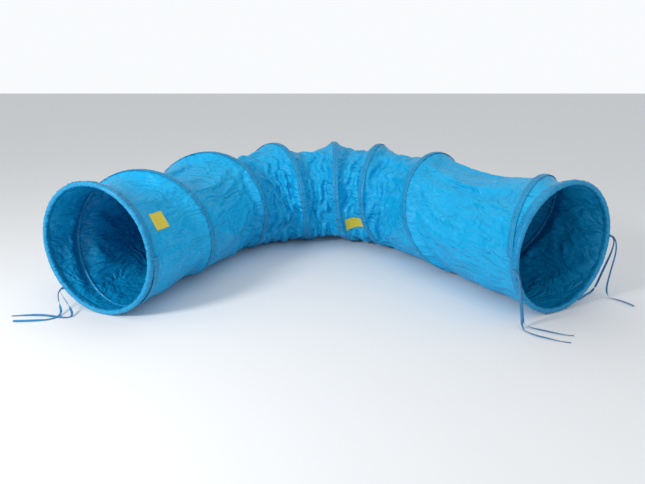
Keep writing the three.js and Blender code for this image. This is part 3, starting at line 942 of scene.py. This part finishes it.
def add_tail(name, route, facing, body, node, nodes):
    """One loose end of a tape: flat, with firm edges, its face turning up where it lies."""
    line = smooth_route(route, 4)
    arc = np.concatenate([[0], np.cumsum(np.linalg.norm(np.diff(line, axis=0), axis=1))])
    lying = 1 - smooth(line[:, 2], 0.005, 0.060)
    lean = (0.55 + 0.5 * np.sin(arc * 21 + 9 * line[0, 0])) * lying
    line[:, 2] += 0.5 * TAPE_WIDTH * np.sin(lean)
    tangent = np.gradient(line, axis=0)
    tangent /= np.linalg.norm(tangent, axis=1)[:, None]
    up = np.array([0.0, 0.0, 1.0])
    profile = [(-0.5, -0.30), (-0.42, -0.5), (0, -0.42), (0.42, -0.5), (0.5, -0.30),
               (0.5, 0.30), (0.42, 0.5), (0, 0.42), (-0.42, 0.5), (-0.5, 0.30)]
    sections = []
    for p, t, low, tilt in zip(line, tangent, lying, lean):
        side = facing * (1 - low) + up * low
        across = np.cross(t, side)
        across /= np.linalg.norm(across)
        flat = np.cross(across, t)
        turn = tilt + 0.35 * math.sin(40 * p[0] + 31 * p[1]) * (1 - low)
        across, flat = (across * math.cos(turn) + flat * math.sin(turn),
                        flat * math.cos(turn) - across * math.sin(turn))
        section = [p + across * TAPE_WIDTH * x + flat * TAPE_THICKNESS * y for x, y in profile]
        sections.append([np.array([q[0], q[1], max(q[2], 0.0002)]) for q in section])
    tail = swept(name, sections, nodes, arc, [TAPE_WIDTH * x for x, _ in profile])
    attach(tail, body)
    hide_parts(node)
    return tail


def add_tab(tie, distance, degrees, body, nodes):
    """The tape's middle, folded over and bar-tacked to the outside of the hem."""
    angle = math.radians(degrees)
    _, ahead, right = axis_at(distance)
    out = right * math.cos(angle) + np.array([0, 0, math.sin(angle)])
    around = np.cross(ahead, out)
    centre = axis_at(distance)[0] + np.array([0, 0, RIM_HEIGHT]) + out * 0.3042
    mouthward = -ahead if distance == 0 else ahead
    sections = []
    for t in np.linspace(-1, 1, 15):
        pinch = 1 - 0.10 * math.exp(-((t / 0.25) ** 2))
        section = []
        for k in range(20):
            turn = 2 * math.pi * (k + 0.5) / 20
            x = math.copysign(abs(math.cos(turn)) ** 0.35, math.cos(turn)) * 0.0056 * pinch
            y = math.copysign(abs(math.sin(turn)) ** 0.6, math.sin(turn))
            fold = 0.0003 * math.sin(9 * t + 5 * x / 0.0056)
            section.append(centre + mouthward * 0.0098 * t + around * x + out * (0.0022 * pinch * y + fold))
        sections.append(section)
    if np.dot(np.cross(around, out), mouthward) < 0:
        sections.reverse()
    tab = swept(f"tab_{tie}", sections, nodes, np.linspace(0, 0.02, 15), np.linspace(-0.005, 0.005, 20))
    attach(tab, body)
    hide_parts(f"tie_tab_{tie}")


def add_ties(nodes):
    for tie, (body, distance, degrees, routes) in TIES.items():
        angle = math.radians(degrees)
        facing = axis_at(distance)[2] * math.copysign(1.0, math.cos(angle))
        add_tab(tie, distance, degrees, body, nodes)
        for k, route in enumerate(routes):
            add_tail(f"tail_{tie}_{k + 1}", route, facing, body, f"tie_tail_{tie}_{k + 1}", nodes)


# ---------------------------------------------------------------- joints

BLEND_INSET = [0.0, 0.10, 0.27, 0.0, 0.20, 0.16, 0.0]


def follow(piece, bay):
    """The middle bay's piece goes with the root's body; a piece of any other bay has its transform baked into
    its points.
    """
    root = BODIES.index("mid_bend")
    if bay == root:
        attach(piece, "mid_bend")
        return
    near, far = STATIONS[bay], STATIONS[bay + 1]
    start, end = (axis_at(x)[0] + np.array([0, 0, TUBE_RADIUS]) for x in (near, far))
    inset = (end - start) * BLEND_INSET[bay]
    start, end = tuple(start + inset), tuple(end - inset)
    if bay < root:
        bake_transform(piece)
    else:
        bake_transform(piece)


def main():
    add_camera()
    floor = add_studio()
    tape = tape_cloth()
    add_ties(tape)
    # The inner and outer skins are one nylon in two copies, the outer painted lighter than the inner: painted
    # light on the outside and painted shade inside the tunnel.
    shaded_inner_nylon = nylon("shaded_inner_nylon", (0.000, 0.262, 0.545, 1), (0.012, 0.400, 0.690, 1),
                         (0.000, 0.120, 0.310, 1))
    lit_outer_nylon = nylon("lit_outer_nylon", (0.000, 0.400, 0.760, 1), (0.015, 0.540, 0.900, 1),
                        (0.000, 0.220, 0.500, 1))
    places = [label_place(distance, degrees) for distance, degrees, _ in LABELS.values()]
    # The outer skin's nylon carries the labels' painted shadows.
    shade_behind_labels(lit_outer_nylon, places)
    hem_nylon = nylon("hem_nylon", (0.002, 0.250, 0.520, 1), (0.030, 0.430, 0.720, 1),
                      (0.000, 0.100, 0.270, 1), 0.7)
    steel = drawn_steel("spring_steel", (0.42, 0.43, 0.45, 1), 0.25)
    sleeve = drawn_steel("ferrule_metal", (0.70, 0.71, 0.73, 1), 0.3)
    casing = casing_nylon()
    label = label_cloth()
    rows, cloth = drape(floor)
    fabric, fine_rows, sheets = split_fabric(rows, cloth, shaded_inner_nylon, lit_outer_nylon)
    for bay, (sheet, cut) in enumerate(zip(sheets, cut_lengths())):
        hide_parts(f"fabric_bay_{bay + 1}")
        follow(sheet, bay)
    for turn in range(BAYS):
        follow(add_wire(turn, steel), turn)
        follow(add_casing(turn, casing), turn)
    for side in ("left", "right"):
        add_hem(side, hem_nylon)
        for node, nodes in ((f"{side}_end_ring", steel), (f"{side}_ring_ferrule", sleeve)):
            slots = bpy.data.objects[node].material_slots
            slots[0].material = nodes.material
    for name, (distance, degrees, bay) in LABELS.items():
        follow(add_label(name, distance, degrees, fabric, fine_rows, label), bay)


main()
